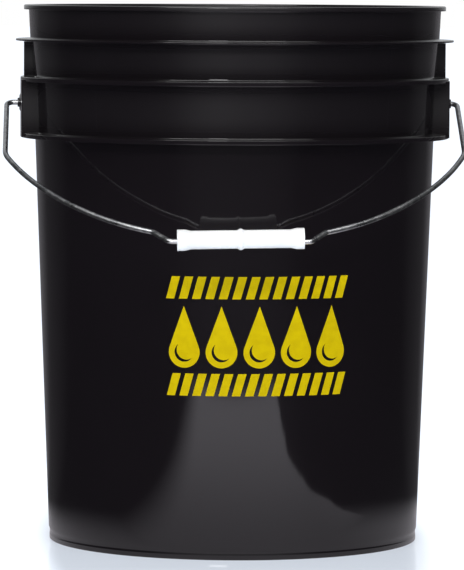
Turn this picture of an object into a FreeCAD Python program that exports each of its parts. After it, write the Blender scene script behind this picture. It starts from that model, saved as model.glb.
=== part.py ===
import FreeCAD, Part
import math
import os
import re

import Sketcher

# Five-gallon wash bucket: a moulded pail, a wire bail with a loose hand grip, and printed graphics.
# The origin is the centre of the base on the floor, +Z is up, and the graphics face -Y.
# Millimetres throughout. Every size is a cell of the Dimensions sheet.

SIZES = {
    # rim and wall, all outer radii
    "rim_height": 369.5,
    "lip_thickness": 3.3,
    "lip_radius": 145.7,
    "rim_wall_radius": 142.3,
    "neck_wall_radius": 141.25,
    "wall_base_radius": 127.5,
    "wall_slope": 0.0368,
    "wall_thickness": 2.3,
    # flanges that go right round the wall
    "stack_ring_radius": 151.25,
    "stack_ring_base": 344.8,
    "stack_ring_thickness": 1.4,
    "ear_ring_radius": 148.0,
    "upper_ear_ring_base": 317.0,
    "lower_ear_ring_base": 278.4,
    "ear_ring_thickness": 3.1,
    "ear_top_step": 1.2,
    # foot and bottom
    "foot_radius": 127.3,
    "foot_height": 3.2,
    "crease_radius": 127.1,
    "crease_bottom": 4.4,
    "crease_top": 6.4,
    "foot_shoulder": 8.6,
    "foot_inner_radius": 122.4,
    "recess_radius": 121.4,
    "recess_height": 3.4,
    "floor_height": 6.2,
    "floor_corner": 7.0,
    "rib_radius": 62.0,
    "rib_width": 2.4,
    "rib_height": 1.2,
    "gate_radius": 5.0,
    "gate_height": 0.9,
    # hollow ears that carry the bail
    "ear_half_width": 29.3,
    "ear_face_radius": 360.0,
    "ear_root_radius": 137.6,
    "ear_wall": 2.4,
    "pocket_inner_radius": 139.6,
    "gusset_spread": 6.0,
    "gusset_thickness": 2.4,
    "gusset_root": 139.2,
    "gusset_radius": 145.6,
    "gusset_gap": 0.8,
    "boss_root": 146.4,
    "boss_edge": 147.6,
    "boss_radius": 7.4,
    "boss_crown": 148.8,
    "boss_crown_radius": 4.8,
    "collar_radius": 3.15,
    "collar_face": 150.0,
    "pin_hole_radius": 2.05,
    # bail, in its own plane: across along the pivot axis, out away from it
    "pivot_height": 302.0,
    "bail_angle": 25.5,
    "bail_slip": 1.3,
    "wire_radius": 1.75,
    "head_inner": 141.6,
    "head_outer": 143.4,
    "head_radius": 2.9,
    "leg_across": 155.8,
    "leg_shift": 0.28,
    "corner_radius": 4.7,
    "kink_radius": 28.0,
    "shoulder_radius": 201.2,
    "shoulder_across": 100.6,
    "bow_centre": 46.5,
    "bow_radius": 150.4,
    "bow_shift": 0.85,
    "joggle_across": 57.9,
    "joggle_radius": 5.0,
    "joggle_angle": 50.7,
    "seat_out": 198.4,
    # hand grip
    "grip_half_length": 41.6,
    "grip_shift": 1.7,
    "grip_radius": 6.05,
    "grip_bore_radius": 4.35,
    "grip_collar_radius": 6.95,
    "grip_collar_length": 5.0,
    "grip_taper_length": 4.0,
    "grip_ring_radius": 7.05,
    "grip_ring_crown": 0.5,
    "grip_ring_foot": 2.4,
    "grip_lift": 1.55,
    "grip_tilt": 1.0,
    "edge_rounding": 0.5,
    "lip_rounding": 1.0,
    # printed graphics
    "ink_thickness": 0.15,
    "print_azimuth": 5.5,
    "stripe_pitch_angle": 3.842,
    "stripe_width": 5.7,
    "stripe_height": 14.9,
    "stripe_lean": 4.2,
    "upper_stripe_base": 175.5,
    "lower_stripe_base": 110.6,
    "drop_pitch_angle": 10.9,
    "drop_radius": 10.6,
    "drop_height": 41.4,
    "drop_base": 129.3,
    "glint_radius": 6.6,
    "glint_shift": 1.5,
}
STRIPE_COUNT = 14
DROP_COUNT = 5
SIDES = (1, -1)
ORIGIN_POINT = (-1, 1)

doc = FreeCAD.newDocument("wash_bucket")


# ---------------------------------------------------------------- the sheet and how objects read it


def fill_sheet():
    sheet = doc.addObject("Spreadsheet::Sheet", "Dimensions")
    for row, (alias, value) in enumerate(SIZES.items(), start=1):
        sheet.set(f"A{row}", alias)
        sheet.set(f"B{row}", str(value))
        sheet.setAlias(f"B{row}", alias)


def cells(text):
    """Turn an expression of plain alias names into one that reads them from the sheet."""

    def full_name(word):
        return "Dimensions." + word.group() if word.group() in SIZES else word.group()

    return re.sub(r"[a-z_]+", full_name, text)


def bind(obj, prop, text):
    obj.setExpression(prop, cells(text))


def wall_radius(height):
    """Expression for the outer radius of the plain wall at a height that is itself an expression."""
    return f"wall_base_radius + wall_slope * ({height})"


def place(obj, across, back, up, axis, angle):
    """Bind an object's placement: three shifts and one turn in degrees about a fixed axis."""
    obj.Placement = FreeCAD.Placement(FreeCAD.Vector(0, 0, 0), FreeCAD.Rotation(axis, 1))
    for letter, text in zip("xyz", (across, back, up)):
        bind(obj, f"Placement.Base.{letter}", text)
    bind(obj, "Placement.Rotation.Angle", angle)


# ---------------------------------------------------------------- sketches and features


def origin_feature(body, role):
    return next(item for item in body.Origin.OriginFeatures if item.Role == role)


def new_body(name):
    body = doc.addObject("PartDesign::Body", name)
    body.Label = name
    return body


def new_sketch(body, name, plane, lift=None, raise_up=None):
    """A sketch on one of the body's own origin planes, lifted off it or raised along its second axis."""
    sketch = body.newObject("Sketcher::SketchObject", name)
    sketch.AttachmentSupport = [(origin_feature(body, plane), "")]
    sketch.MapMode = "FlatFace"
    if lift:
        bind(sketch, "AttachmentOffset.Base.z", lift)
    if raise_up:
        bind(sketch, "AttachmentOffset.Base.y", raise_up)
    return sketch


def present_value(sketch, kind, place):
    """The value that a dimension has in the sketch as drawn."""
    if kind == "Radius":
        return sketch.Geometry[place[0]].Radius
    if kind == "Angle":
        start, end = sketch.getPoint(place[0], 1), sketch.getPoint(place[0], 2)
        return math.atan2(end.y - start.y, end.x - start.x)
    spot = sketch.getPoint(*place[2:])
    return spot.x if kind == "DistanceX" else spot.y


def dimension(sketch, kind, place, text):
    """Add one dimension to a sketch and bind it to the sheet."""
    value = present_value(sketch, kind, place)
    index = sketch.addConstraint(Sketcher.Constraint(kind, *place, value))
    bind(sketch, f"Constraints[{index}]", text)


def pin_point(sketch, point, across, up):
    """Fix a point of a sketch at two expressions measured from the sketch's origin."""
    dimension(sketch, "DistanceX", ORIGIN_POINT + point, across)
    dimension(sketch, "DistanceY", ORIGIN_POINT + point, up)


def outline(sketch, corners):
    """A closed outline of straight lines through corners given as pairs of expressions."""
    count = len(corners)
    spots = []
    for index in range(count):
        turn = 2 * math.pi * index / count
        spots.append(FreeCAD.Vector(100 + 20 * math.cos(turn), 100 + 20 * math.sin(turn), 0))
    first = sketch.GeometryCount
    for index in range(count):
        sketch.addGeometry(Part.LineSegment(spots[index], spots[(index + 1) % count]))
    for index in range(count):
        following = first + (index + 1) % count
        sketch.addConstraint(Sketcher.Constraint("Coincident", first + index, 2, following, 1))
        pin_point(sketch, (first + index, 1), *corners[index])


def revolve(body, name, profiles, axis="V_Axis", kind="Revolution", raise_up=None):
    """Turn closed profiles, drawn in the XZ plane, a full turn about one axis of their sketch."""
    sketch = new_sketch(body, name + "_profile", "XZ_Plane", raise_up=raise_up)
    for corners in profiles:
        outline(sketch, corners)
    feature = body.newObject("PartDesign::" + kind, name)
    feature.Profile = sketch
    feature.ReferenceAxis = (sketch, [axis])
    feature.Angle = 360
    sketch.Visibility = False
    return feature


def extrude(body, name, sketch, length, kind="Pad", reverse=False):
    feature = body.newObject("PartDesign::" + kind, name)
    feature.Profile = sketch
    feature.Reversed = reverse
    bind(feature, "Length", length)
    sketch.Visibility = False
    return feature


def round_edges(body, name, rounds, radius):
    """Round the full circles about the body's main axis that have the given radii and heights."""
    doc.recompute()
    base = body.Tip
    names = []
    for index, edge in enumerate(base.Shape.Edges, start=1):
        if not isinstance(edge.Curve, Part.Circle):
            continue
        for wanted_radius, wanted_height in rounds:
            near_radius = abs(edge.Curve.Radius - wanted_radius) < 0.05
            near_height = abs(edge.Curve.Center.z - wanted_height) < 0.05
            if near_radius and near_height:
                names.append(f"Edge{index}")
    if len(names) < len(rounds):
        raise RuntimeError(f"{name}: found {len(names)} edges for {len(rounds)} rounds")
    feature = body.newObject("PartDesign::Fillet", name)
    feature.Base = (base, names)
    bind(feature, "Radius", radius)
    return feature


def curved_strips(body, name, height, inner, outer, half_width):
    """Two plan outlines, one each side: an inner arc about the main axis, a flatter outer arc, two ends."""
    sketch = new_sketch(body, name, "XY_Plane", lift=height)
    half = SIZES["ear_half_width"]
    near, far, face = SIZES["pocket_inner_radius"], SIZES["ear_ring_radius"], SIZES["ear_face_radius"]
    for side in SIDES:
        facing = 0 if side > 0 else math.pi
        arcs = ((0, near), (side * (far - face), face))
        first = sketch.GeometryCount
        for middle, radius in arcs:
            swing = math.asin(half / radius)
            circle = Part.Circle(FreeCAD.Vector(middle, 0, 0), FreeCAD.Vector(0, 0, 1), radius)
            sketch.addGeometry(Part.ArcOfCircle(circle, facing - swing, facing + swing))
        ends = []
        for arc_end in (-1, 1):
            corners = []
            for middle, radius in arcs:
                turn = facing + arc_end * math.asin(half / radius)
                corners.append(FreeCAD.Vector(middle + radius * math.cos(turn), radius * math.sin(turn), 0))
            ends.append(sketch.addGeometry(Part.LineSegment(*corners)))
        sketch.addConstraint(Sketcher.Constraint("Coincident", first, 3, *ORIGIN_POINT))
        dimension(sketch, "Radius", (first,), inner)
        dimension(sketch, "Radius", (first + 1,), "ear_face_radius")
        pin_point(sketch, (first + 1, 3), f"{side} * ({outer} - ear_face_radius)", "0")
        for line, arc_end in zip(ends, (1, 2)):
            sketch.addConstraint(Sketcher.Constraint("Coincident", line, 1, first, arc_end))
            sketch.addConstraint(Sketcher.Constraint("Coincident", line, 2, first + 1, arc_end))
            sketch.addConstraint(Sketcher.Constraint("Horizontal", line))
            sign = "" if side * (2 * arc_end - 3) > 0 else "-"
            dimension(sketch, "DistanceY", ORIGIN_POINT + (line, 1), f"{sign}1 * {half_width}")
    return sketch


# ---------------------------------------------------------------- the moulded pail


def pail_wall(body):
    """Wall, lip, foot and bottom as one turned outline, drawn from the foot up the outside."""
    lip_base = "rim_height - lip_thickness"
    neck = "stack_ring_base"
    ring = "upper_ear_ring_base"
    corners = [
        ("foot_inner_radius", "0"),
        ("foot_radius", "0"),
        ("foot_radius", "foot_height"),
        ("crease_radius", "crease_bottom"),
        ("crease_radius", "crease_top"),
        (wall_radius("foot_shoulder"), "foot_shoulder"),
        (wall_radius(ring), ring),
        ("neck_wall_radius", neck),
        ("rim_wall_radius", lip_base),
        ("lip_radius", lip_base),
        ("lip_radius", "rim_height"),
        ("rim_wall_radius - wall_thickness", "rim_height"),
        ("neck_wall_radius - wall_thickness", neck),
        (wall_radius(ring) + " - wall_thickness", ring),
        (wall_radius("floor_height") + " - wall_thickness", "floor_height"),
        ("0", "floor_height"),
        ("0", "recess_height"),
        ("recess_radius", "recess_height"),
    ]
    revolve(body, "wall", [corners])


def ring_section(radius, base, thickness):
    """Section of a flange, from the middle of the wall out to the flange's edge."""
    root = f"({wall_radius(base)} - wall_thickness / 2)"
    top = f"{base} + {thickness}"
    return [(root, base), (radius, base), (radius, top), (root, top)]


def pail_rings(body):
    rings = [
        ring_section("stack_ring_radius", "stack_ring_base", "stack_ring_thickness"),
        ring_section("ear_ring_radius", "upper_ear_ring_base", "ear_ring_thickness"),
        ring_section("ear_ring_radius", "lower_ear_ring_base", "ear_ring_thickness"),
    ]
    revolve(body, "rings", rings)


def pail_underside(body):
    """A stiffening rib round the recessed bottom and the moulding gate's boss at its centre."""
    rib_top = "recess_height + 1"
    rib_foot = "recess_height - rib_height"
    rib = [
        ("rib_radius", rib_top),
        ("rib_radius", rib_foot),
        ("rib_radius + rib_width", rib_foot),
        ("rib_radius + rib_width", rib_top),
    ]
    gate_foot = "recess_height - gate_height"
    gate = [
        ("0", rib_top),
        ("0", gate_foot),
        ("gate_radius", gate_foot),
        ("gate_radius", rib_top),
    ]
    revolve(body, "underside", [rib, gate])


def pail_rounding(body):
    size = SIZES
    lip_base = size["rim_height"] - size["lip_thickness"]
    bore = size["rim_wall_radius"] - size["wall_thickness"]
    round_edges(
        body,
        "lip_round",
        [(size["lip_radius"], size["rim_height"]), (bore, size["rim_height"])],
        "lip_rounding",
    )
    edges = [(size["lip_radius"], lip_base), (size["foot_radius"], 0)]
    for base, thickness, radius in (
        ("stack_ring_base", "stack_ring_thickness", "stack_ring_radius"),
        ("upper_ear_ring_base", "ear_ring_thickness", "ear_ring_radius"),
        ("lower_ear_ring_base", "ear_ring_thickness", "ear_ring_radius"),
    ):
        edges.append((size[radius], size[base]))
        edges.append((size[radius], size[base] + size[thickness]))
    round_edges(body, "edge_round", edges, "edge_rounding")
    floor_radius = size["wall_base_radius"] + size["wall_slope"] * size["floor_height"]
    corner = (floor_radius - size["wall_thickness"], size["floor_height"])
    round_edges(body, "floor_round", [corner], "floor_corner")


def pail_ears(body):
    """Hollow boxes between the two lower flanges, open downwards, with gussets over them."""
    shell_base = "(lower_ear_ring_base + ear_ring_thickness / 2)"
    shell_top = "(upper_ear_ring_base + ear_top_step)"
    shells = curved_strips(
        body, "ear_plan", shell_base, "ear_root_radius", "ear_ring_radius", "ear_half_width"
    )
    extrude(body, "ears", shells, f"{shell_top} - {shell_base}")
    pockets = curved_strips(
        body,
        "pocket_plan",
        "lower_ear_ring_base - 1",
        "pocket_inner_radius",
        "ear_ring_radius - ear_wall",
        "(ear_half_width - ear_wall)",
    )
    depth = "upper_ear_ring_base - lower_ear_ring_base + 1"
    extrude(body, "ear_pockets", pockets, depth, kind="Pocket", reverse=True)
    plan = new_sketch(body, "gusset_plan", "XY_Plane", lift="upper_ear_ring_base + 1")
    for side in SIDES:
        for bank in SIDES:
            near = f"{bank} * gusset_spread - gusset_thickness / 2"
            far = f"{bank} * gusset_spread + gusset_thickness / 2"
            root, tip = f"{side} * gusset_root", f"{side} * gusset_radius"
            outline(plan, [(root, near), (tip, near), (tip, far), (root, far)])
    extrude(body, "gussets", plan, "stack_ring_base - gusset_gap - upper_ear_ring_base - 1")


def pail_bosses(body):
    """A low crowned boss with a raised collar on each ear, and the hole for the bail's pin."""
    bosses = []
    holes = []
    for side in SIDES:
        section = [
            ("boss_root", "0"),
            ("boss_root", "boss_radius"),
            ("boss_edge", "boss_radius"),
            ("boss_crown", "boss_crown_radius"),
            ("boss_crown", "collar_radius"),
            ("collar_face", "collar_radius"),
            ("collar_face", "0"),
        ]
        bosses.append([(f"{side} * {across}", up) for across, up in section])
        inner = f"{side} * (ear_ring_radius - ear_wall - 1)"
        outer = f"{side} * (collar_face + 1)"
        hole = [(inner, "0"), (outer, "0"), (outer, "pin_hole_radius"), (inner, "pin_hole_radius")]
        holes.append(hole)
    revolve(body, "bosses", bosses, axis="H_Axis", raise_up="pivot_height")
    revolve(body, "pin_holes", holes, axis="H_Axis", kind="Groove", raise_up="pivot_height")


def make_pail():
    body = new_body("bucket_body")
    pail_wall(body)
    pail_rings(body)
    pail_underside(body)
    pail_rounding(body)
    pail_ears(body)
    pail_bosses(body)
    return body


# ---------------------------------------------------------------- the wire bail


def bail_corners(side):
    """Where the bail's centre line changes from line to arc, on one side, outwards from the pin."""
    size = SIZES
    shift = side * size["bow_shift"]
    leg = size["leg_across"] - side * size["leg_shift"] + shift
    corner, kink = size["corner_radius"], size["kink_radius"]
    bow, centre, seat = size["bow_radius"], size["bow_centre"], size["seat_out"]
    jog, slope = size["joggle_radius"], math.radians(size["joggle_angle"])
    shoulder, join_across = size["shoulder_radius"], size["shoulder_across"]
    join = (join_across, centre + math.sqrt(bow**2 - join_across**2))
    back = (bow - shoulder) / bow
    shoulder_centre = (join[0] * back, centre + (join[1] - centre) * back)
    across = leg - kink - shoulder_centre[0]
    rise_to_kink = math.sqrt((shoulder - kink) ** 2 - across**2)
    kink_centre = (leg - kink, shoulder_centre[1] + rise_to_kink)
    spread = shoulder / (shoulder - kink)
    kink_end = (shoulder_centre[0] + across * spread, shoulder_centre[1] + rise_to_kink * spread)
    joggle = size["joggle_across"]
    bow_end = (joggle, centre + math.sqrt(bow**2 - joggle**2))
    outward = (bow_end[0] / bow, (bow_end[1] - centre) / bow)
    jog_centre = (bow_end[0] + outward[0] * jog, bow_end[1] + outward[1] * jog)
    rise_start = (jog_centre[0] - jog * math.sin(slope), jog_centre[1] - jog * math.cos(slope))
    rise = seat - jog + jog * math.cos(slope) - rise_start[1]
    rise_end = (rise_start[0] - rise / math.tan(slope), rise_start[1] + rise)
    seat_centre = (rise_end[0] - jog * math.sin(slope), seat - jog)
    path = [
        ("line", (size["head_inner"] + shift, 0), (leg - corner, 0), None),
        ("arc", (leg - corner, 0), (leg, corner), (leg - corner, corner)),
        ("line", (leg, corner), (leg, kink_centre[1]), None),
        ("arc", (leg, kink_centre[1]), kink_end, kink_centre),
        ("arc", kink_end, join, shoulder_centre),
        ("arc", join, bow_end, (0, centre)),
        ("arc", bow_end, rise_start, jog_centre),
        ("line", rise_start, rise_end, None),
        ("arc", rise_end, (seat_centre[0], seat), seat_centre),
    ]
    mirrored = []
    for kind, *spots in path:
        mirrored.append((kind, *[spot and (side * (spot[0] - shift), spot[1]) for spot in spots]))
    return mirrored


def add_piece(sketch, kind, start, end, middle):
    """Add a line or the shorter arc; returns its index and which of its ends is the start."""
    if kind == "line":
        line = Part.LineSegment(FreeCAD.Vector(*start, 0), FreeCAD.Vector(*end, 0))
        return sketch.addGeometry(line), 1, 2
    radius = math.hypot(start[0] - middle[0], start[1] - middle[1])
    turn_start = math.atan2(start[1] - middle[1], start[0] - middle[0])
    turn_end = math.atan2(end[1] - middle[1], end[0] - middle[0])
    sweep = (turn_end - turn_start) % (2 * math.pi)
    circle = Part.Circle(FreeCAD.Vector(*middle, 0), FreeCAD.Vector(0, 0, 1), radius)
    if sweep < math.pi:
        return sketch.addGeometry(Part.ArcOfCircle(circle, turn_start, turn_start + sweep)), 1, 2
    back = 2 * math.pi - sweep
    return sketch.addGeometry(Part.ArcOfCircle(circle, turn_end, turn_end + back)), 2, 1


def bail_path(body):
    """The bail's centre line: pins, legs, kinks, the bow and the straight seat of the grip."""
    sketch = new_sketch(body, "bail_path", "XY_Plane")
    seat_ends = []
    for side in SIDES:
        pieces = [add_piece(sketch, *piece) for piece in bail_corners(side)]
        for (piece, _, last), (following, start, _) in zip(pieces, pieces[1:]):
            sketch.addConstraint(Sketcher.Constraint("Tangent", piece, last, following, start))
        pin, corner, leg, kink, shoulder, bow, jog, rise, settle = [piece[0] for piece in pieces]
        pin_point(sketch, (pin, 1), f"{side} * head_inner", "0")
        sketch.addConstraint(Sketcher.Constraint("Horizontal", pin))
        sketch.addConstraint(Sketcher.Constraint("Vertical", leg))
        dimension(sketch, "DistanceX", ORIGIN_POINT + (leg, 1), f"{side} * leg_across - leg_shift")
        dimension(sketch, "Radius", (corner,), "corner_radius")
        dimension(sketch, "Radius", (kink,), "kink_radius")
        dimension(sketch, "Radius", (shoulder,), "shoulder_radius")
        dimension(sketch, "Radius", (bow,), "bow_radius")
        dimension(sketch, "Radius", (jog,), "joggle_radius")
        dimension(sketch, "Radius", (settle,), "joggle_radius")
        pin_point(sketch, (bow, 3), "-1 * bow_shift", "bow_centre")
        bow_first, bow_last = pieces[5][1:]
        join = f"{side} * shoulder_across - bow_shift"
        dimension(sketch, "DistanceX", ORIGIN_POINT + (bow, bow_first), join)
        joggle = f"{side} * joggle_across - bow_shift"
        dimension(sketch, "DistanceX", ORIGIN_POINT + (bow, bow_last), joggle)
        seat_ends.append((settle, pieces[8][2]))
        slope = "(180 - joggle_angle) * 1 deg" if side > 0 else "joggle_angle * 1 deg"
        dimension(sketch, "Angle", (rise,), slope)
    ends = [bail_corners(side)[8][2] for side in SIDES]
    seat = sketch.addGeometry(
        Part.LineSegment(FreeCAD.Vector(*ends[0], 0), FreeCAD.Vector(*ends[1], 0))
    )
    sketch.addConstraint(Sketcher.Constraint("Tangent", *seat_ends[0], seat, 1))
    sketch.addConstraint(Sketcher.Constraint("Tangent", *seat_ends[1], seat, 2))
    sketch.addConstraint(Sketcher.Constraint("Horizontal", seat))
    dimension(sketch, "DistanceY", ORIGIN_POINT + (seat, 1), "seat_out")
    return sketch


def make_bail():
    """Bent round wire, built flat in its own XY plane and then hung on the pivot axis."""
    body = new_body("bail_wire")
    path = bail_path(body)
    section = new_sketch(body, "wire_section", "YZ_Plane", lift="head_inner")
    circle = Part.Circle(FreeCAD.Vector(0, 0, 0), FreeCAD.Vector(0, 0, 1), SIZES["wire_radius"])
    ring = section.addGeometry(circle)
    section.addConstraint(Sketcher.Constraint("Coincident", ring, 3, *ORIGIN_POINT))
    dimension(section, "Radius", (ring,), "wire_radius")
    doc.recompute()
    pipe = body.newObject("PartDesign::AdditivePipe", "wire")
    pipe.Profile = section
    pipe.Spine = (path, [f"Edge{index + 1}" for index in range(path.GeometryCount)])
    pipe.Mode = "Standard"
    path.Visibility = False
    section.Visibility = False
    heads = []
    for side in SIDES:
        inner, outer = f"{side} * head_inner", f"{side} * head_outer"
        heads.append([(inner, "0"), (outer, "0"), (outer, "head_radius"), (inner, "head_radius")])
    revolve(body, "pin_heads", heads, axis="H_Axis")
    place(body, "-bail_slip", "0", "pivot_height", FreeCAD.Vector(1, 0, 0), "180 + bail_angle")
    return body


# ---------------------------------------------------------------- the hand grip


def make_grip():
    """A loose moulded tube with a collar at each end and a thin raised ring at its middle."""
    body = new_body("hand_grip")
    end = "grip_half_length"
    shoulder = "(grip_half_length - grip_collar_length)"
    waist = "(grip_half_length - grip_collar_length - grip_taper_length)"
    half = [
        (end, "grip_collar_radius"),
        (shoulder, "grip_collar_radius"),
        (waist, "grip_radius"),
        ("grip_ring_foot", "grip_radius"),
        ("grip_ring_crown", "grip_ring_radius"),
    ]
    corners = [(end, "grip_bore_radius")] + half
    corners += [("-1 * " + across, up) for across, up in reversed(half)]
    corners += [("-1 * " + end, "grip_bore_radius")]
    revolve(body, "tube", [corners], axis="H_Axis")
    out = "-1 * seat_out * cos(bail_angle * 1 deg)"
    down = "pivot_height + grip_lift - seat_out * sin(bail_angle * 1 deg)"
    place(body, "-1 * grip_shift", out, down, FreeCAD.Vector(0, 1, 0), "-1 * grip_tilt")
    return body


# ---------------------------------------------------------------- the printed graphics


def ink_film(name, base, height):
    """A thin conical sleeve that lies on the plain wall between two heights."""
    skins = []
    for layer, extra in (("outer", "ink_thickness"), ("inner", "0")):
        cone = doc.addObject("Part::Cone", f"{name}_{layer}")
        bind(cone, "Radius1", f"{wall_radius(base)} + {extra}")
        bind(cone, "Radius2", f"{wall_radius(base + ' + ' + height)} + {extra}")
        bind(cone, "Height", height)
        bind(cone, "Placement.Base.z", base)
        skins.append(cone)
    film = doc.addObject("Part::Cut", name + "_film")
    film.Base, film.Tool = skins
    return film


def repeat_about_axis(body, feature, pitch, count):
    """Repeat a feature round the main axis, then turn the body so that the set is centred."""
    doc.recompute()
    pattern = body.newObject("PartDesign::PolarPattern", feature.Name + "_row")
    pattern.Originals = [feature]
    pattern.Axis = (origin_feature(body, "Z_Axis"), [""])
    bind(pattern, "Angle", f"{pitch} * {count - 1}")
    pattern.Occurrences = count
    body.Tip = pattern
    turn = f"print_azimuth - {pitch} * {(count - 1) / 2}"
    place(body, "0", "0", "0", FreeCAD.Vector(0, 0, 1), turn)


def printed_row(name, outlines, base, height, pitch, count):
    """Ink shapes cut from a film by prisms that are drawn at the front and repeated round the wall."""
    body = new_body(name + "_prisms")
    body.AllowCompound = True
    sketch = new_sketch(body, name + "_outline", "XZ_Plane", lift="foot_inner_radius")
    outlines(sketch, base)
    prism = extrude(body, name + "_prism", sketch, "stack_ring_radius - foot_inner_radius")
    repeat_about_axis(body, prism, pitch, count)
    print_common = doc.addObject("Part::Common", name)
    print_common.Base = ink_film(name, base, height)
    print_common.Tool = body
    print_common.Label = name
    return print_common


def stripe_outline(sketch, base):
    """One warning stripe: a parallelogram that leans to the right."""
    foot, lean = "-stripe_width / 2 - stripe_lean / 2", "-stripe_width / 2 + stripe_lean / 2"
    low, high = f"{base} - 1", f"{base} + stripe_height + 1"
    overhang = "stripe_lean / stripe_height"
    corners = [
        (f"{foot} - {overhang}", low),
        (f"{foot} - {overhang} + stripe_width", low),
        (f"{lean} + {overhang} + stripe_width", high),
        (f"{lean} + {overhang}", high),
    ]
    outline(sketch, corners)


def drop_outline(sketch, base):
    """One water drop: a round bottom, two straight sides to a point, and a lune-shaped glint."""
    size = SIZES
    radius, centre_up = size["drop_radius"], size["drop_base"] + size["drop_radius"]
    point_up = size["drop_base"] + size["drop_height"]
    flank = math.asin(radius / (point_up - centre_up))
    touch = (radius * math.cos(flank), centre_up + radius * math.sin(flank))
    circle = Part.Circle(FreeCAD.Vector(0, centre_up, 0), FreeCAD.Vector(0, 0, 1), radius)
    belly = sketch.addGeometry(Part.ArcOfCircle(circle, math.pi - flank, 2 * math.pi + flank))
    left = add_piece(sketch, "line", (0, point_up), (-touch[0], touch[1]), None)[0]
    right = add_piece(sketch, "line", (0, point_up), touch, None)[0]
    sketch.addConstraint(Sketcher.Constraint("Coincident", left, 1, right, 1))
    sketch.addConstraint(Sketcher.Constraint("Tangent", left, 2, belly, 1))
    sketch.addConstraint(Sketcher.Constraint("Tangent", right, 2, belly, 2))
    pin_point(sketch, (left, 1), "0", f"{base} + drop_height")
    pin_point(sketch, (belly, 3), "0", f"{base} + drop_radius")
    dimension(sketch, "Radius", (belly,), "drop_radius")
    glint_outline(sketch, base)


def glint_outline(sketch, base):
    """The lune left between two equal circles, the second shifted up and to the right."""
    size = SIZES
    radius, shift = size["glint_radius"], size["glint_shift"]
    centre_up = size["drop_base"] + size["drop_radius"]
    spread = math.acos(shift * math.sqrt(2) / 2 / radius)
    facing = math.radians(225)
    arcs = []
    for offset, half_sweep in ((0, math.pi - spread), (shift, spread)):
        middle = FreeCAD.Vector(offset, centre_up + offset, 0)
        circle = Part.Circle(middle, FreeCAD.Vector(0, 0, 1), radius)
        arc = Part.ArcOfCircle(circle, facing - half_sweep, facing + half_sweep)
        arcs.append(sketch.addGeometry(arc))
    outer, inner = arcs
    sketch.addConstraint(Sketcher.Constraint("Coincident", outer, 1, inner, 1))
    sketch.addConstraint(Sketcher.Constraint("Coincident", outer, 2, inner, 2))
    pin_point(sketch, (outer, 3), "0", f"{base} + drop_radius")
    pin_point(sketch, (inner, 3), "glint_shift", f"{base} + drop_radius + glint_shift")
    dimension(sketch, "Radius", (outer,), "glint_radius")
    dimension(sketch, "Radius", (inner,), "glint_radius")


def make_prints():
    stripes = ("stripe_height", "stripe_pitch_angle", STRIPE_COUNT)
    drops = ("drop_height", "drop_pitch_angle", DROP_COUNT)
    return [
        printed_row("upper_stripe_print", stripe_outline, "upper_stripe_base", *stripes),
        printed_row("lower_stripe_print", stripe_outline, "lower_stripe_base", *stripes),
        printed_row("water_drop_print", drop_outline, "drop_base", *drops),
    ]


# ---------------------------------------------------------------- build, check and write


def check_document():
    for item in doc.Objects:
        if "Invalid" in item.State or "Error" in item.State:
            raise RuntimeError(f"{item.Name} failed: {item.State}")


def write_parts(parts):
    os.makedirs("parts", exist_ok=True)
    for part in parts:
        shape = part.Shape
        if shape.isNull() or not shape.isValid():
            raise RuntimeError(f"{part.Label} has no valid shape")
        shape.exportStep(os.path.join("parts", part.Label + ".step"))
        box = shape.optimalBoundingBox()
        print(
            f"{part.Label}: {len(shape.Solids)} solids, {shape.Volume / 1000:.2f} cm3,"
            f" x {box.XMin:.2f} to {box.XMax:.2f}, y {box.YMin:.2f} to {box.YMax:.2f},"
            f" z {box.ZMin:.2f} to {box.ZMax:.2f}"
        )


fill_sheet()
doc.recompute()
parts = [make_pail(), make_bail(), make_grip()] + make_prints()
doc.recompute()
check_document()
write_parts(parts)
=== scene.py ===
import math

import bpy
from mathutils import Matrix, Vector


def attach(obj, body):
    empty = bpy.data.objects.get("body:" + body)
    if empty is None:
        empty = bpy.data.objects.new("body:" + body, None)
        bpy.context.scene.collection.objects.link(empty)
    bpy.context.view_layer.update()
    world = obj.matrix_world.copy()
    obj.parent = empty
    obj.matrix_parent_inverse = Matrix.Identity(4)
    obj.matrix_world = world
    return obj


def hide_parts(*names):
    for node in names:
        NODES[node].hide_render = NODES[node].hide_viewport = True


# Wash bucket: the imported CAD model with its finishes, and a finer pail drawn in the place of the CAD one.
# It stands in a studio that gloss sees as dark, except for a backdrop, a lit floor and soft boxes.
# Metres throughout, apart from the pail's own section, which is in millimetres.

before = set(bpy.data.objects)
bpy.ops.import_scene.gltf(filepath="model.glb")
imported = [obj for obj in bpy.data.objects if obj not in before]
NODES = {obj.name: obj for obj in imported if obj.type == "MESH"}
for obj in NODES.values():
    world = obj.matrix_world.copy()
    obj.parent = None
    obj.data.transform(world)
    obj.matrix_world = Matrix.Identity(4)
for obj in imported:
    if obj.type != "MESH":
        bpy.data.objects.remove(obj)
bpy.context.view_layer.update()


# ---------------------------------------------------------------- node helpers


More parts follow.
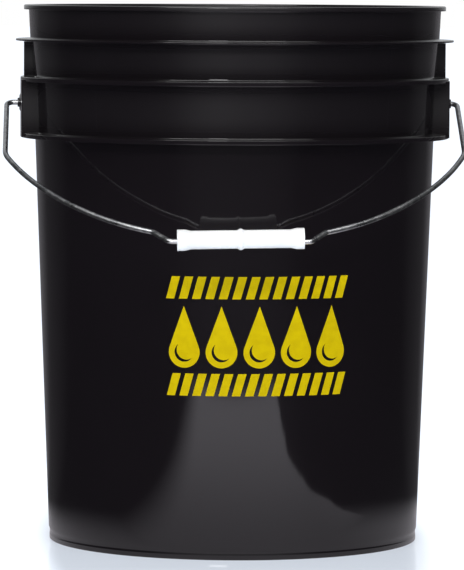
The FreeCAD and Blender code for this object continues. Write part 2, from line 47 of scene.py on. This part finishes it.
class Shader:
    """One material's node tree, with short calls for the nodes that the finishes use."""

    def __init__(self, name):
        self.material = bpy.data.materials.new(name)
        self.material.use_nodes = True
        self.tree = self.material.node_tree
        self.nodes = self.tree.nodes
        self.surface = self.nodes["Principled BSDF"]
        self.place = self.node("ShaderNodeTexCoord").outputs["Object"]

    def node(self, kind, settings=None, **values):
        made = self.nodes.new(kind)
        for key, value in (settings or {}).items():
            setattr(made, key, value)
        for key, value in values.items():
            self.feed(made.inputs[key.replace("_", " ")], value)
        return made

    def feed(self, socket, value):
        if isinstance(value, bpy.types.NodeSocket):
            self.tree.links.new(value, socket)
        else:
            socket.default_value = value

    def set(self, **values):
        for key, value in values.items():
            self.feed(self.surface.inputs[key.replace("_", " ")], value)

    def stretched(self, scale):
        """The object's own coordinates, scaled separately along X, Y and Z."""
        mapping = self.node("ShaderNodeMapping", Vector=self.place)
        mapping.inputs["Scale"].default_value = scale
        return mapping.outputs["Vector"]

    def noise(self, scale, detail, where=None):
        where = where or self.place
        made = self.node("ShaderNodeTexNoise", Vector=where, Scale=scale, Detail=detail)
        return made.outputs["Fac"]

    def spread(self, value, low, high, to_low=0.0, to_high=1.0):
        """Map a value from one range to another, smoothly and without overshoot."""
        made = self.node("ShaderNodeMapRange", {"interpolation_type": "SMOOTHSTEP"}, Value=value)
        for key, number in zip(("From Min", "From Max", "To Min", "To Max"), (low, high, to_low, to_high)):
            made.inputs[key].default_value = number
        return made.outputs["Result"]

    def math(self, operation, *values):
        made = self.node("ShaderNodeMath", {"operation": operation})
        for socket, value in zip(made.inputs, values):
            self.feed(socket, value)
        return made.outputs[0]

    def tint(self, share, first, second):
        """A colour between two colours."""
        made = self.node("ShaderNodeMix", {"data_type": "RGBA"})
        factor, colour_a, colour_b = made.inputs[0], made.inputs[6], made.inputs[7]
        for socket, value in zip((factor, colour_a, colour_b), (share, first, second)):
            self.feed(socket, value)
        return made.outputs[2]

    def bump(self, height, distance, after=None):
        """Surface relief from a height between 0 and 1, laid over the relief that comes after it."""
        made = self.node("ShaderNodeBump", Height=height, Distance=distance, Strength=1.0)
        if after is not None:
            self.feed(made.inputs["Normal"], after)
        return made.outputs["Normal"]


def rgb(red, green, blue):
    return (red, green, blue, 1.0)


# ---------------------------------------------------------------- finishes


# Heights of a painted sheen on the wall, in metres, one band between each two flanges: full in the middle of
# the band, fading to painted shade next to the flanges.
PAINTED_SHEEN_BANDS = ((0.280, 0.318), (0.321, 0.345), (0.346, 0.376))
# How strong the painted sheen is in the middle of each band, and the faint even sheen that the whole wall
# has.
PAINTED_SHEEN_LEVEL = 0.25
PLAIN_SHEEN = 0.03
BLACK_DEEP = rgb(0.0046, 0.0034, 0.0044)
BLACK_PALE = rgb(0.0066, 0.0050, 0.0064)
DUST = rgb(0.09, 0.09, 0.09)
DUST_COVER = 0.12
ZINC_DARK = rgb(0.50, 0.51, 0.53)
ZINC_BRIGHT = rgb(0.72, 0.73, 0.74)
GRIP_CLEAN = rgb(0.84, 0.845, 0.855)
GRIP_GRIMY = rgb(0.74, 0.745, 0.75)
YELLOW_DEEP = rgb(0.485, 0.360, 0.0)
YELLOW_BRIGHT = rgb(0.54, 0.406, 0.0)


def black_pail_with_painted_sheen():
    """Polished black polyethylene: gently uneven moulded gloss, faint rub marks, a little dust, and a sheen
    painted in bands between the flanges that fades to painted shade next to them.
    """
    look = Shader("black_pail_with_painted_sheen")
    cloud = look.noise(9.0, 4.0)
    rub = look.noise(60.0, 5.0, look.stretched((1.0, 1.0, 0.06)))
    ring_rub = look.noise(30.0, 5.0, look.stretched((0.3, 0.3, 14.0)))
    speck = look.spread(look.noise(900.0, 2.0), 0.72, 0.8)
    gloss = look.spread(cloud, 0.3, 0.7, 0.035, 0.06)
    scuff = look.math("MULTIPLY", look.spread(rub, 0.55, 0.8, 0.0, 0.05), look.spread(cloud, 0.4, 0.65))
    gloss = look.math("ADD", gloss, scuff)
    gloss = look.math("ADD", gloss, look.spread(ring_rub, 0.6, 0.85, 0.0, 0.04))
    base = look.tint(cloud, BLACK_DEEP, BLACK_PALE)
    base = look.tint(look.math("MULTIPLY", speck, DUST_COVER), base, DUST)
    up = look.node("ShaderNodeSeparateXYZ", Vector=look.place).outputs["Z"]
    # Painted sheen and shade: the rough reflection is made stronger in the middle of each band and fades out
    # next to the flanges.
    painted_band_sheen = PLAIN_SHEEN
    for low, high in PAINTED_SHEEN_BANDS:
        start = look.spread(up, low, low + 0.45 * (high - low), 0.0, PAINTED_SHEEN_LEVEL)
        stop = look.spread(up, high - 0.4 * (high - low), high, 1.0, 0.0)
        painted_band_sheen = look.math("ADD", painted_band_sheen, look.math("MULTIPLY", start, stop))
    swell = look.bump(look.noise(14.0, 1.0), 0.00022)
    peel = look.bump(look.noise(420.0, 2.0), 0.0000035, after=swell)
    look.set(
        Base_Color=base,
        Roughness=look.spread(cloud, 0.3, 0.7, 0.36, 0.42),
        Specular_IOR_Level=painted_band_sheen,
        Coat_Weight=1.0,
        Coat_Roughness=gloss,
        Normal=peel,
    )
    look.feed(look.surface.inputs["Coat Normal"], peel)
    return look.material


def galvanised_finish():
    """Zinc-plated drawn wire: bright, with fine draw lines along it and duller cloudy patches."""
    look = Shader("galvanised_finish")
    cloud = look.noise(70.0, 5.0)
    patch = look.noise(330.0, 3.0)
    gloss = look.spread(cloud, 0.3, 0.7, 0.24, 0.4)
    gloss = look.math("ADD", gloss, look.spread(patch, 0.5, 0.75, 0.0, 0.12))
    base = look.tint(look.spread(patch, 0.35, 0.7), ZINC_DARK, ZINC_BRIGHT)
    grain = look.bump(look.noise(1500.0, 3.0, look.stretched((0.25, 1.0, 1.0))), 0.00002)
    look.set(Base_Color=base, Metallic=1.0, Roughness=gloss, Normal=grain)
    return look.material


def white_grip_finish():
    """White moulded plastic with a soft sheen, faint flow marks and a little grime."""
    look = Shader("white_grip_finish")
    cloud = look.noise(45.0, 4.0)
    flow = look.noise(90.0, 4.0, look.stretched((0.3, 1.0, 1.0)))
    base = look.tint(look.spread(flow, 0.4, 0.8), GRIP_CLEAN, GRIP_GRIMY)
    gloss = look.spread(cloud, 0.3, 0.7, 0.26, 0.4)
    peel = look.bump(look.noise(700.0, 2.0), 0.00001)
    look.set(Base_Color=base, Roughness=gloss, Normal=peel, Subsurface_Weight=0.12, Subsurface_Scale=0.004)
    look.surface.inputs["Subsurface Radius"].default_value = (1.0, 0.95, 0.9)
    return look.material


def yellow_ink_finish():
    """Screen-printed yellow ink: flat, very slightly mottled, with a fine mesh texture."""
    look = Shader("yellow_ink_finish")
    mottle = look.noise(160.0, 4.0)
    mesh = look.noise(2600.0, 1.0)
    base = look.tint(look.spread(mottle, 0.3, 0.7), YELLOW_DEEP, YELLOW_BRIGHT)
    gloss = look.spread(mottle, 0.3, 0.7, 0.36, 0.5)
    look.set(Base_Color=base, Roughness=gloss, Normal=look.bump(mesh, 0.00001), Specular_IOR_Level=0.05)
    return look.material


def dress(node_names, material):
    for name in node_names:
        for material_slot in NODES[name].material_slots:
            material_slot.material = material


# ---------------------------------------------------------------- mesh building

MM = 0.001


def rounded(corners, steps=4):
    """A chain of points from corners (across, up, rounding), each inner corner turned into an arc."""
    points = [Vector(corners[0][:2])]
    for before, corner, after in zip(corners, corners[1:], corners[2:]):
        spot, rounding = Vector(corner[:2]), corner[2]
        back = (Vector(before[:2]) - spot).normalized()
        on = (Vector(after[:2]) - spot).normalized()
        opening = back.angle(on)
        if rounding == 0 or opening > math.pi - 0.01:
            points.append(spot)
            continue
        middle = spot + (back + on).normalized() * (rounding / math.sin(opening / 2))
        first = spot + back * (rounding / math.tan(opening / 2)) - middle
        last = spot + on * (rounding / math.tan(opening / 2)) - middle
        sweep = first.angle_signed(last)
        for step in range(steps + 1):
            points.append(middle + Matrix.Rotation(-sweep * step / steps, 2) @ first)
    points.append(Vector(corners[-1][:2]))
    return points


def new_object(name, points, faces):
    mesh = bpy.data.meshes.new(name)
    mesh.from_pydata([tuple(MM * number for number in point) for point in points], [], faces)
    made = bpy.data.objects.new(name, mesh)
    bpy.context.scene.collection.objects.link(made)
    return made


def lathe(name, chain, turns, swell=None):
    """Turn a chain of (radius, height) about Z through the listed turns; ends on the axis are closed."""
    rings = []
    points = []
    for radius, height in chain:
        if radius < 1e-6:
            rings.append([len(points)] * len(turns))
            points.append((0.0, 0.0, height))
            continue
        rings.append(list(range(len(points), len(points) + len(turns))))
        for turn in turns:
            reach = radius + (swell(turn, radius, height) if swell else 0.0)
            points.append((reach * math.sin(turn), -reach * math.cos(turn), height))
    faces = []
    for low, high in zip(rings, rings[1:]):
        for index in range(len(turns)):
            following = (index + 1) % len(turns)
            loop = [low[index], low[following], high[following], high[index]]
            faces.append(list(dict.fromkeys(loop)))
    return new_object(name, points, faces)


def prism(name, outline, low, high):
    """A flat outline, anticlockwise from above, pulled up between two heights."""
    count = len(outline)
    points = [(x, y, low) for x, y in outline] + [(x, y, high) for x, y in outline]
    faces = [list(range(count))[::-1], list(range(count, 2 * count))]
    for index in range(count):
        following = (index + 1) % count
        faces.append([index, following, count + following, count + index])
    return new_object(name, points, faces)


def even_turns(count):
    return [2 * math.pi * index / count for index in range(count)]


def combine(base, tools, operation):
    """Join the tools to the base object, or cut them out of it, and remove them."""
    for tool in tools:
        modifier = base.modifiers.new(tool.name, "BOOLEAN")
        modifier.operation = operation
        modifier.solver = "MANIFOLD"
        modifier.object = tool
    depsgraph = bpy.context.evaluated_depsgraph_get()
    mesh = bpy.data.meshes.new_from_object(base.evaluated_get(depsgraph))
    mesh.materials.clear()
    base.modifiers.clear()
    base.data = mesh
    for tool in tools:
        bpy.data.objects.remove(tool)


def smooth(piece, sharp_angle):
    """Smooth shading that keeps flat faces flat, with edges steeper than the angle left sharp."""
    piece.data.shade_smooth()
    piece.data.set_sharp_from_angle(angle=math.radians(sharp_angle))
    modifier = piece.modifiers.new("even_normals", "WEIGHTED_NORMAL")
    modifier.keep_sharp = True
    modifier.weight = 90


# ---------------------------------------------------------------- the pail, in millimetres

RIM = 369.5
RIM_RADIUS = 142.3
LIP_BASE = 366.2
LIP_RADIUS = 145.7
NECK_RADIUS = 141.25
STACK_RING = 344.8
STACK_RING_THICKNESS = 1.4
STACK_RING_RADIUS = 151.25
UPPER_EAR_RING = 317.0
LOWER_EAR_RING = 278.4
EAR_RING_THICKNESS = 3.1
EAR_RING_RADIUS = 148.0
WALL = 2.3
WALL_BASE_RADIUS = 127.5
WALL_SLOPE = 0.0368
FLOOR = 6.2
FLOOR_CORNER = 7.0
FOOT_RADIUS = 127.3
FOOT_INNER_RADIUS = 122.4
CREASE_RADIUS = 127.1
RECESS = 3.4
GATE_RADIUS = 5.0
GATE_HEIGHT = 0.9
RIB_RADII = (62.0, 64.4)
RIB_HEIGHT = 1.2
PIVOT = 302.0
EAR_ROOT = 137.6
EAR_HALF_WIDTH = 29.3
EAR_FACE_RADIUS = 360.0
EAR_WALL = 2.4
EAR_TOP_STEP = 1.2
POCKET_ROOT = 139.6
GUSSET_ROOT = 139.2
GUSSET_TIP = 145.6
GUSSET_OFFSET = 6.0
GUSSET_HALF_THICKNESS = 1.2
GUSSET_GAP = 0.8
BOSS_ROOT = 146.4
BOSS_EDGE = 147.4
BOSS_RADIUS = 7.4
BOSS_CROWN = 148.8
BOSS_CROWN_RADIUS = 4.8
COLLAR_RADIUS = 3.15
COLLAR_FACE = 150.0
PIN_HOLE_RADIUS = 2.05
PIN_HOLE_SPAN = (144.0, 151.0)
PARTING_TURNS = [math.radians(46.1 + 90 * quarter) for quarter in range(4)]
PARTING_WIDTH = math.radians(0.14)
PARTING_HEIGHT = 0.1
SIDES = (1, -1)


def wall_radius(height):
    return WALL_BASE_RADIUS + WALL_SLOPE * height


def flange(radius, base, thickness):
    """Corners of a flange from its lower root to its upper root, going up the outside of the wall."""
    return [
        (wall_radius(base), base, 0.6),
        (radius, base, 0.5),
        (radius, base + thickness, 0.5),
        (wall_radius(base + thickness), base + thickness, 0.9),
    ]


def pail_chain():
    """The pail's section: under the bottom, up the outside, over the rim and down the inside."""
    rib_inner, rib_outer = RIB_RADII
    underside = [
        (0.0, RECESS - GATE_HEIGHT, 0.0),
        (GATE_RADIUS, RECESS - GATE_HEIGHT, 0.4),
        (GATE_RADIUS, RECESS, 0.3),
        (rib_inner, RECESS, 0.5),
        (rib_inner, RECESS - RIB_HEIGHT, 0.4),
        (rib_outer, RECESS - RIB_HEIGHT, 0.4),
        (rib_outer, RECESS, 0.5),
        (FOOT_INNER_RADIUS - 1.0, RECESS, 1.0),
        (FOOT_INNER_RADIUS, 0.0, 0.5),
    ]
    foot = [
        (FOOT_RADIUS, 0.0, 0.5),
        (FOOT_RADIUS, 3.2, 0.4),
        (CREASE_RADIUS, 4.4, 0.0),
        (CREASE_RADIUS, 6.4, 0.0),
        (wall_radius(8.6), 8.6, 0.0),
    ]
    outside = flange(EAR_RING_RADIUS, LOWER_EAR_RING, EAR_RING_THICKNESS)
    outside += flange(EAR_RING_RADIUS, UPPER_EAR_RING, EAR_RING_THICKNESS)
    neck_shift = NECK_RADIUS - wall_radius(STACK_RING)
    root, *edge, top = flange(STACK_RING_RADIUS, STACK_RING, STACK_RING_THICKNESS)
    outside += [(root[0] + neck_shift, *root[1:]), *edge, (top[0] + neck_shift, *top[1:])]
    rim = [
        (RIM_RADIUS, LIP_BASE, 0.5),
        (LIP_RADIUS, LIP_BASE, 0.5),
        (LIP_RADIUS, RIM, 1.0),
        (RIM_RADIUS - WALL, RIM, 1.0),
        (NECK_RADIUS - WALL, STACK_RING, 0.0),
        (wall_radius(UPPER_EAR_RING) - WALL, UPPER_EAR_RING, 0.0),
        (wall_radius(FLOOR) - WALL, FLOOR, FLOOR_CORNER),
        (0.0, FLOOR, 0.0),
    ]
    return rounded(underside + foot + outside + rim)


def parting_swell(turn, radius, height):
    """The faint raised lines that the mould's four slides leave on the outside of the flange zone."""
    outside = radius > wall_radius(height) - 0.5 and LOWER_EAR_RING - 0.5 < height < RIM - 1.0
    on_line = any(abs(turn - parting) < PARTING_WIDTH / 4 for parting in PARTING_TURNS)
    return PARTING_HEIGHT if outside and on_line else 0.0


def ear_outline(side, inner, outer, half_width, rounding):
    """Plan of one ear, from an inner radius to an outer face that bows less than the flanges do."""
    steps = 6
    face = []
    for step in range(-steps, steps + 1):
        aside = half_width * step / steps
        fall = EAR_FACE_RADIUS * (1 - math.cos(math.asin(aside / EAR_FACE_RADIUS)))
        face.append((outer - fall, aside, rounding if abs(step) == steps else 0.0))
    inside = inner - 3.0
    chain = [(inside, -half_width, 0.0), *face, (inside, half_width, 0.0)]
    inner_swing = math.asin(half_width / inner)
    points = [tuple(point) for point in rounded(chain, 5)][1:-1]
    for step in range(2 * steps + 1):
        turn = inner_swing * (1 - step / steps)
        points.append((inner * math.cos(turn), inner * math.sin(turn)))
    return points if side > 0 else [(-x, -y) for x, y in points]


def gusset(side, offset):
    """One rib between the upper ear flange and the stacking flange, which it doesn't quite reach."""
    low, high = offset - GUSSET_HALF_THICKNESS, offset + GUSSET_HALF_THICKNESS
    near, far = sorted((side * GUSSET_ROOT, side * GUSSET_TIP))
    plan = [(near, low), (far, low), (far, high), (near, high)]
    return prism("gusset", plan, UPPER_EAR_RING + 1.0, STACK_RING - GUSSET_GAP)


def boss_chain():
    """Section of an ear's crowned boss and collar, as (radius, distance from the pail's axis)."""
    return rounded([
        (0.0, BOSS_ROOT, 0.0),
        (BOSS_RADIUS, BOSS_ROOT, 0.0),
        (BOSS_RADIUS, BOSS_EDGE, 0.0),
        (BOSS_CROWN_RADIUS, BOSS_CROWN, 0.6),
        (COLLAR_RADIUS, BOSS_CROWN, 0.4),
        (COLLAR_RADIUS, COLLAR_FACE, 0.35),
        (0.0, COLLAR_FACE, 0.0),
    ])


def across_axis(piece, side):
    """Turn a piece made round Z so that it points out along X at the pivot's height."""
    turn = Matrix.Rotation(side * math.pi / 2, 4, "Y")
    piece.data.transform(Matrix.Translation((0.0, 0.0, PIVOT * MM)) @ turn)


def make_pail():
    turns = even_turns(240)
    for parting in PARTING_TURNS:
        turns += [parting - PARTING_WIDTH / 2, parting, parting + PARTING_WIDTH / 2]
    pail = lathe("pail", pail_chain(), sorted(turns), parting_swell)
    added = []
    removed = []
    for side in SIDES:
        ear = ear_outline(side, EAR_ROOT, EAR_RING_RADIUS, EAR_HALF_WIDTH, 0.8)
        added.append(prism("ear", ear, LOWER_EAR_RING + 0.8, UPPER_EAR_RING + EAR_TOP_STEP))
        pocket_face = EAR_RING_RADIUS - EAR_WALL
        pocket = ear_outline(side, POCKET_ROOT, pocket_face, EAR_HALF_WIDTH - EAR_WALL, 1.5)
        removed.append(prism("pocket", pocket, LOWER_EAR_RING - 1.0, UPPER_EAR_RING))
        added += [gusset(side, bank * GUSSET_OFFSET) for bank in SIDES]
        added.append(lathe("boss", boss_chain(), even_turns(48)))
        across_axis(added[-1], side)
        inner, outer = PIN_HOLE_SPAN
        hole = [(0.0, inner), (PIN_HOLE_RADIUS, inner), (PIN_HOLE_RADIUS, outer), (0.0, outer)]
        removed.append(lathe("pin_hole", hole, even_turns(32)))
        across_axis(removed[-1], side)
    combine(pail, added, "UNION")
    combine(pail, removed, "DIFFERENCE")
    smooth(pail, 40)
    pail.data.materials.append(black_pail_with_painted_sheen())
    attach(pail, "pail")
    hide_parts("bucket_body")


# ---------------------------------------------------------------- studio


CAMERA_DISTANCE = 3.1
CAMERA_HEIGHT = 0.3907
CAMERA_TURN = math.radians(-2.0)
CAMERA_YAW = math.radians(0.021)
CAMERA_PITCH = math.radians(3.966)
CAMERA_ROLL = math.radians(0.285)
CAMERA_LENS = 282.8
SENSOR = 36.0


def add_camera():
    data = bpy.data.cameras.new("photo_camera")
    data.lens = CAMERA_LENS
    data.sensor_width = SENSOR
    camera = bpy.data.objects.new("photo_camera", data)
    bpy.context.scene.collection.objects.link(camera)
    heading = Matrix.Rotation(CAMERA_TURN, 4, "Z")
    spot = heading @ Vector((0.0, -CAMERA_DISTANCE, CAMERA_HEIGHT))
    turn = Matrix.Rotation(CAMERA_TURN + CAMERA_YAW, 4, "Z")
    tip = Matrix.Rotation(math.pi / 2 - CAMERA_PITCH, 4, "X")
    camera.matrix_world = Matrix.Translation(spot) @ turn @ tip @ Matrix.Rotation(CAMERA_ROLL, 4, "Z")
    bpy.context.scene.camera = camera


def add_soft_box(name, spot, target, width, height, power):
    data = bpy.data.lights.new(name, "AREA")
    data.shape = "RECTANGLE"
    data.size = width
    data.size_y = height
    data.energy = power
    lamp = bpy.data.objects.new(name, data)
    lamp.location = spot
    lamp.rotation_euler = (Vector(target) - Vector(spot)).to_track_quat("-Z", "Y").to_euler()
    bpy.context.scene.collection.objects.link(lamp)
    return lamp


PLANE_HALF_SIZE = 30.0


def add_plane(name, height, material):
    mesh = bpy.data.meshes.new(name)
    signs = ((-1, -1), (1, -1), (1, 1), (-1, 1))
    corners = [(x * PLANE_HALF_SIZE, y * PLANE_HALF_SIZE, height) for x, y in signs]
    mesh.from_pydata(corners, [], [(0, 1, 2, 3)])
    mesh.materials.append(material)
    plane = bpy.data.objects.new(name, mesh)
    bpy.context.scene.collection.objects.link(plane)
    return plane


# The floor's own glow, with painted shade of the bucket: the glow is weaker in an oval round the bucket,
# which is this much narrower across.
OVAL_SQUEEZE = 3.6
OVAL_EDGE = (0.44, 0.52)
PAINTED_SHADE_GLOW = 0.55
OUTER_GLOW = 1.1


def floor_glow_with_painted_shade():
    """Pale blue-grey floor, faintly cloudy, that glows less in an oval round the bucket as painted shade."""
    look = Shader("pale_floor_glow_with_painted_shade")
    cloud = look.noise(1.5, 3.0)
    reach = look.node("ShaderNodeVectorMath", {"operation": "LENGTH"})
    look.feed(reach.inputs[0], look.stretched((OVAL_SQUEEZE, 1.0, 1.0)))
    # Painted shade: the floor's glow is lower inside the oval round the bucket.
    glow = look.spread(reach.outputs["Value"], *OVAL_EDGE, PAINTED_SHADE_GLOW, OUTER_GLOW)
    look.set(
        Base_Color=look.tint(cloud, rgb(0.60, 0.645, 0.715), rgb(0.62, 0.665, 0.73)),
        Roughness=look.spread(cloud, 0.3, 0.7, 0.05, 0.07),
        Emission_Color=rgb(0.62, 0.67, 0.75),
        Emission_Strength=glow,
    )
    return look.material


# The lit patch that gloss sees, in metres from the bucket's axis.  A flag cuts it off on each side: the
# right one stands square and leans out only from FAR_AHEAD on, the left one leans out all the way.
RIGHT_FLAG = 0.24
RIGHT_LEAN = 0.2
FAR_AHEAD = 0.45
LEFT_FLAG = 0.13
LEFT_LEAN = 0.27
LEFT_SOFTNESS = 0.075
PATCH_START = (0.02, 0.16)
PATCH_END = (0.72, 0.86)
POOL_EDGE = (0.15, 0.28)
PATCH_REACH = (0.13, 0.72)
PATCH_LEVELS = (0.6, 1.42)


def glow_card_finish():
    """What the gloss of the pail sees of the lit floor: a pool of light, cut off by a flag on each side."""
    look = Shader("glow_card_finish")
    axes = look.node("ShaderNodeSeparateXYZ", Vector=look.place)
    across, behind = axes.outputs["X"], axes.outputs["Y"]
    ahead = look.math("MULTIPLY", behind, -1.0)
    reach = look.node("ShaderNodeVectorMath", {"operation": "LENGTH"})
    look.feed(reach.inputs[0], look.place)
    reach = reach.outputs["Value"]
    ragged = look.math("MULTIPLY", look.math("SUBTRACT", look.noise(16.0, 4.0), 0.5), 0.03)
    far_ahead = look.math("MAXIMUM", look.math("SUBTRACT", ahead, FAR_AHEAD), 0.0)
    right_gap = look.math("SUBTRACT", look.math("MULTIPLY_ADD", far_ahead, RIGHT_LEAN, RIGHT_FLAG), across)
    right = look.spread(look.math("ADD", right_gap, ragged), -0.006, 0.008)
    left_gap = look.math("ADD", look.math("MULTIPLY_ADD", ahead, LEFT_LEAN, LEFT_FLAG), across)
    left = look.spread(left_gap, -LEFT_SOFTNESS, LEFT_SOFTNESS)
    front = look.math("MULTIPLY", look.spread(ahead, *PATCH_START), look.spread(ahead, *PATCH_END, 1.0, 0.0))
    tongue = look.math("MULTIPLY", look.math("MULTIPLY", right, left), front)
    rightward = look.spread(across, -0.05, 0.15, 0.0, -0.04)
    pool = look.spread(look.math("ADD", reach, rightward), *POOL_EDGE, 1.0, 0.0)
    pool = look.math("MULTIPLY", pool, look.spread(behind, -0.12, 0.08, 1.0, 0.6))
    level = look.spread(reach, *PATCH_REACH, *PATCH_LEVELS)
    strength = look.math("MULTIPLY", look.math("MAXIMUM", tongue, pool), level)

    def fan(along, width, level):
        """A glow round one direction from the origin, which fades where it is more than width aside."""
        ratio = look.math("DIVIDE", across, look.math("MAXIMUM", along, 0.05))
        aside = look.spread(look.math("MULTIPLY", ratio, ratio), 0.0, width * width, level, 0.0)
        return look.math("MULTIPLY", aside, look.spread(along, 0.0, 0.1))

    near_back = look.math("MULTIPLY", fan(behind, 0.8, 0.22), look.spread(reach, 0.35, 0.8, 1.0, 0.0))
    near_back = look.math("MULTIPLY", near_back, look.spread(across, -0.1, 0.1, 0.5, 1.0))
    glows = (fan(ahead, 0.8, 0.06), fan(behind, 0.8, 0.1), fan(behind, 2.5, 0.04), near_back, 0.02)
    for glow in glows:
        strength = look.math("ADD", strength, glow)
    light = look.node("ShaderNodeEmission", Color=rgb(0.96, 0.93, 1.0), Strength=strength)
    output = look.nodes["Material Output"]
    look.nodes.remove(look.surface)
    look.feed(output.inputs["Surface"], light.outputs[0])
    return look.material


CARD_HEIGHT = -0.0005


def add_floor():
    """The floor, which gloss doesn't see, and just under it the card that only gloss sees."""
    add_plane("pale_floor", 0.0, floor_glow_with_painted_shade()).visible_glossy = False
    card = add_plane("glow_card", CARD_HEIGHT, glow_card_finish())
    card.visible_camera = False
    card.visible_diffuse = False
    card.visible_shadow = False
    card.visible_transmission = False


# Where the world glows for light and gloss: aim, full within and gone at (in degrees), level.
BACKDROP_GLOW = ((0.0, 0.87, 0.5), 10.0, 55.0, 0.45)
FRONT_GLOW = ((0.0, -1.0, 0.0), 0.0, 60.0, 0.3)
WORLD_GLOW = 0.05


def add_world():
    """White all round for the camera; for light and gloss, dark but for a backdrop and a front glow."""
    world = bpy.data.worlds.new("studio")
    bpy.context.scene.world = world
    world.use_nodes = True
    nodes, links = world.node_tree.nodes, world.node_tree.links
    nodes.clear()
    aim = nodes.new("ShaderNodeTexCoord").outputs["Generated"]

    def lobe(direction, inner, outer, level):
        """Light from round one direction, full within one angle and gone at another, in degrees."""
        dot = nodes.new("ShaderNodeVectorMath")
        dot.operation = "DOT_PRODUCT"
        links.new(aim, dot.inputs[0])
        dot.inputs[1].default_value = direction
        made = nodes.new("ShaderNodeMapRange")
        made.interpolation_type = "SMOOTHSTEP"
        links.new(dot.outputs["Value"], made.inputs["Value"])
        made.inputs["From Min"].default_value = math.cos(math.radians(outer))
        made.inputs["From Max"].default_value = math.cos(math.radians(inner))
        made.inputs["To Max"].default_value = level
        return made.outputs["Result"]

    def plus(first, second):
        made = nodes.new("ShaderNodeMath")
        made.operation = "ADD"
        for socket, value in zip(made.inputs, (first, second)):
            if isinstance(value, float):
                socket.default_value = value
            else:
                links.new(value, socket)
        return made.outputs[0]

    light = plus(plus(lobe(*BACKDROP_GLOW), lobe(*FRONT_GLOW)), WORLD_GLOW)
    seen = nodes.new("ShaderNodeBackground")
    seen.inputs["Strength"].default_value = 1.0
    seen.inputs["Color"].default_value = rgb(1.0, 1.0, 1.0)
    unseen = nodes.new("ShaderNodeBackground")
    unseen.inputs["Color"].default_value = rgb(0.96, 0.98, 1.0)
    links.new(light, unseen.inputs["Strength"])
    mix = nodes.new("ShaderNodeMixShader")
    path = nodes.new("ShaderNodeLightPath")
    links.new(path.outputs["Is Camera Ray"], mix.inputs[0])
    links.new(unseen.outputs[0], mix.inputs[1])
    links.new(seen.outputs[0], mix.inputs[2])
    output = nodes.new("ShaderNodeOutputWorld")
    links.new(mix.outputs[0], output.inputs["Surface"])


def add_lights():
    add_soft_box("overhead_box", (0.0, -0.75, 1.5), (0.0, 0.0, 0.25), 1.8, 0.7, 9.0)
    add_soft_box("front_box", (-0.3, -2.5, 1.9), (0.0, 0.0, 0.2), 3.4, 0.4, 50.0)
    add_soft_box("low_box", (-0.5, -2.6, 0.95), (0.0, 0.0, 0.3), 0.5, 0.5, 9.0)
    add_soft_box("top_fill", (0.0, 0.0, 3.2), (0.0, 0.0, 0.0), 4.0, 4.0, 45.0).visible_glossy = False


def look_of_picture():
    scene = bpy.context.scene
    scene.view_settings.view_transform = "Standard"
    scene.view_settings.look = "None"


make_pail()
dress(["bail_wire"], galvanised_finish())
dress(["hand_grip"], white_grip_finish())
dress(["upper_stripe_print", "water_drop_print", "lower_stripe_print"], yellow_ink_finish())
add_floor()
add_world()
add_lights()
add_camera()
look_of_picture()
